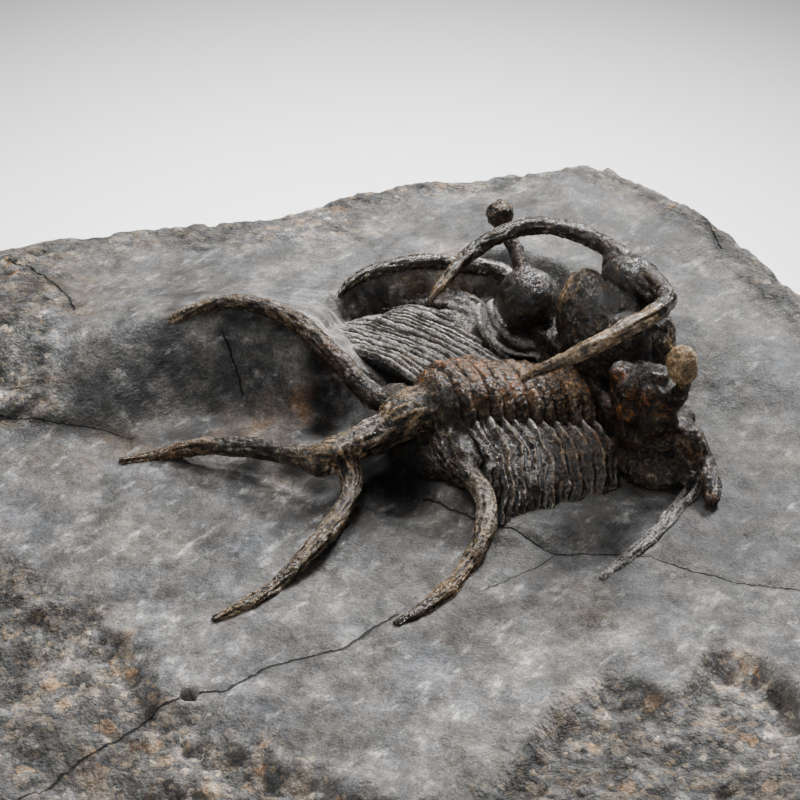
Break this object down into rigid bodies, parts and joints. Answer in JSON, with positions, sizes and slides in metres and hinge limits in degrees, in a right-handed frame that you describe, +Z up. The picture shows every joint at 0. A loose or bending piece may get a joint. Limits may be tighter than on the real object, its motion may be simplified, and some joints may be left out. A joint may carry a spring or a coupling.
{
  "type": "spiny trilobite fossil on limestone block",
  "caption": "Spiny trilobite with stalked eyes, curved horns and a forked spiny tail, prepared free on a block of grey limestone.",
  "frame": {"origin": "middle of the block's flat sawn base, under the middle of the whole object's box", "axes": "+Z up from the base, +X along the block's long side; the animal's head points to +X turned 29 degrees towards +Y"},
  "size_m": [0.136, 0.124, 0.0493],
  "materials": {
    "stone": "matte, grey, fine grained, chipped round the rim",
    "shell": "satin black and brown calcite shell with worn tan ridges and rust stains"
  },
  "bodies": {
    "root": {"matrix": "stone", "cephalon": "shell", "thorax_segment_01": "shell", "thorax_segment_02": "shell", "thorax_segment_03": "shell", "thorax_segment_04": "shell", "thorax_segment_05": "shell", "thorax_segment_06": "shell", "thorax_segment_07": "shell", "thorax_segment_08": "shell", "thorax_segment_09": "shell", "thorax_segment_10": "shell", "pygidium": "shell"}
  },
  "joints": []
}
